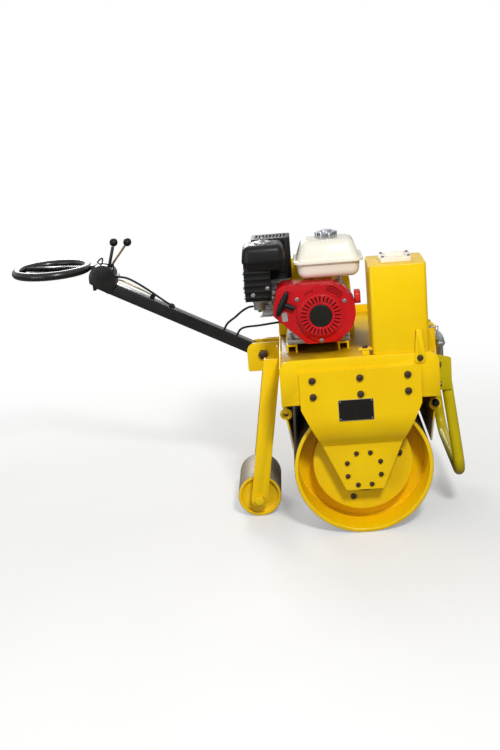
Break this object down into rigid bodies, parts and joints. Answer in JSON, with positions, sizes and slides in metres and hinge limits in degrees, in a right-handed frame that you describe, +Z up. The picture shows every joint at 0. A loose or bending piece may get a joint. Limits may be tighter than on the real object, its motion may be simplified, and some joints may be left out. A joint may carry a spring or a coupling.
{
  "type": "walk-behind roller",
  "caption": "Walk-behind single-drum roller with petrol engine and water tank on an open frame, tube guard, rear support roller and folding ring handle.",
  "frame": {"origin": "on the ground under the middle of the machine's whole length and width", "axes": "+X to the front of the machine, +Z up, -Y the side with the starter"},
  "size_m": [1.39, 0.716, 0.9316],
  "materials": {
    "yellow_paint": "gloss chrome yellow paint",
    "drum_steel": "worn rolled steel",
    "dark_steel": "dark oiled steel",
    "cast_aluminium": "rough cast",
    "red_enamel": "gloss red enamel",
    "black_plastic": "moulded",
    "cream_tank": "gloss cream enamel",
    "chrome": "bright plated",
    "black_heat_paint": "matt heat-proof paint",
    "red_plastic": "moulded",
    "cream_plastic": "moulded",
    "galvanised": "zinc coated",
    "rubber": "matt",
    "black_paint": "gloss black paint"
  },
  "bodies": {
    "chassis": {"frame_side_near": "yellow_paint", "frame_side_far": "yellow_paint", "frame_deck": "yellow_paint", "frame_rear_plate": "yellow_paint", "frame_front_plate": "yellow_paint", "side_arm_near": "yellow_paint", "side_arm_far": "yellow_paint", "hub_near": "dark_steel", "hub_far": "dark_steel", "engine_rails": "yellow_paint", "engine_block": "cast_aluminium", "fan_shroud": "red_enamel", "starter_cover": "red_enamel", "starter_grip": "black_plastic", "fuel_tank": "cream_tank", "fuel_cap": "chrome", "air_cleaner": "black_plastic", "carburettor": "cast_aluminium", "muffler": "black_heat_paint", "engine_switch": "red_plastic", "belt_guard": "yellow_paint", "water_tank": "yellow_paint", "tank_cover": "cream_plastic", "tank_strap": "yellow_paint", "water_pipe": "galvanised", "tie_lug": "yellow_paint", "lug_chain": "galvanised", "guard_brackets": "yellow_paint", "front_guard": "yellow_paint", "scraper_rear": "yellow_paint", "scraper_front": "yellow_paint", "scraper_knob": "black_plastic", "roller_leg_near": "yellow_paint", "roller_leg_far": "yellow_paint", "roller_axle": "yellow_paint", "handle_bracket": "yellow_paint", "handle_pivot": "dark_steel", "handle_stop": "rubber", "throttle_cable": "rubber", "drive_cable": "rubber"},
    "drum": {"drum_shell": "drum_steel", "drum_webs": "yellow_paint", "drum_hub_near": "yellow_paint", "drum_hub_far": "yellow_paint"},
    "roller": {"support_roller": "yellow_paint"},
    "handle": {"handle_arm": "black_paint", "control_head": "black_paint", "lever_rods": "black_paint", "lever_knobs": "black_plastic", "handle_ring": "black_paint", "ring_bar": "black_paint", "head_cable": "rubber"}
  },
  "joints": [
    {"name": "drum_spin", "type": "hinge", "parent": "chassis", "child": "drum", "pos_m": [0.374, 0, 0.213], "axis": [0, 1, 0], "continuous": true},
    {"name": "roller_spin", "type": "hinge", "parent": "chassis", "child": "roller", "pos_m": [0.04, 0, 0.07], "axis": [0, 1, 0], "continuous": true},
    {"name": "handle_fold", "type": "hinge", "parent": "chassis", "child": "handle", "pos_m": [0.085, 0, 0.524], "axis": [0, 1, 0], "range_deg": [0, 45], "deforming": ["throttle_cable", "drive_cable"]}
  ]
}
